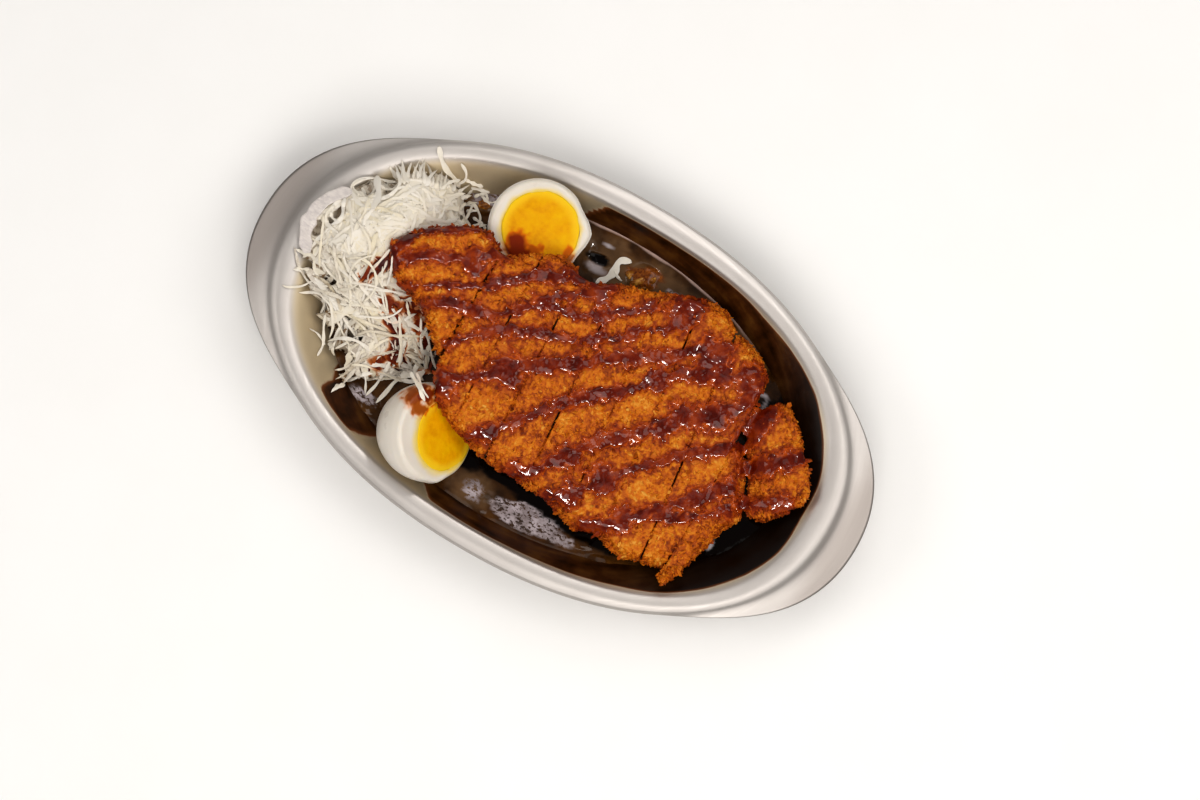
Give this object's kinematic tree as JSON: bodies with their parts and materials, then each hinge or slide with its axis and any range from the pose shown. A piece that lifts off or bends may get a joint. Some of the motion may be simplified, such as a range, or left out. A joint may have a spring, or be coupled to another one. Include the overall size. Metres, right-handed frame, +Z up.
{
  "type": "chicken katsu plate",
  "caption": "Oval steel curry dish of dark curry with a sliced breaded cutlet, shredded cabbage and a halved boiled egg.",
  "frame": {"origin": "on the surface it stands on, under the middle of the dish", "axes": "+X along the dish towards the end with the cutlet's separate end piece, +Y across it towards the egg half whose cut face looks up, +Z up"},
  "size_m": [0.296, 0.171, 0.058],
  "materials": {
    "steel": "satin pressed stainless steel, brighter on the wall",
    "curry": "glossy, nearly black brown roux with a skin",
    "crust": "deep-fried breadcrumb crust, golden orange",
    "sauce": "glossy dark red-brown cutlet sauce",
    "egg_white": "smooth moist boiled egg white",
    "egg_yolk": "moist soft-set yolk",
    "cabbage": "raw translucent shredded cabbage"
  },
  "bodies": {
    "root": {"dish": "steel", "curry": "curry", "cabbage_heap": "cabbage", "cutlet_strip_1": "crust", "cutlet_strip_2": "crust", "cutlet_strip_3": "crust", "cutlet_strip_4": "crust", "cutlet_strip_5": "crust", "cutlet_strip_6": "crust", "cutlet_strip_7": "crust", "cutlet_strip_8": "crust", "cutlet_strip_9": "crust", "cutlet_end_piece": "crust", "egg_white_far": "egg_white", "egg_yolk_far": "egg_yolk", "egg_white_near": "egg_white", "egg_yolk_near": "egg_yolk"}
  },
  "joints": []
}
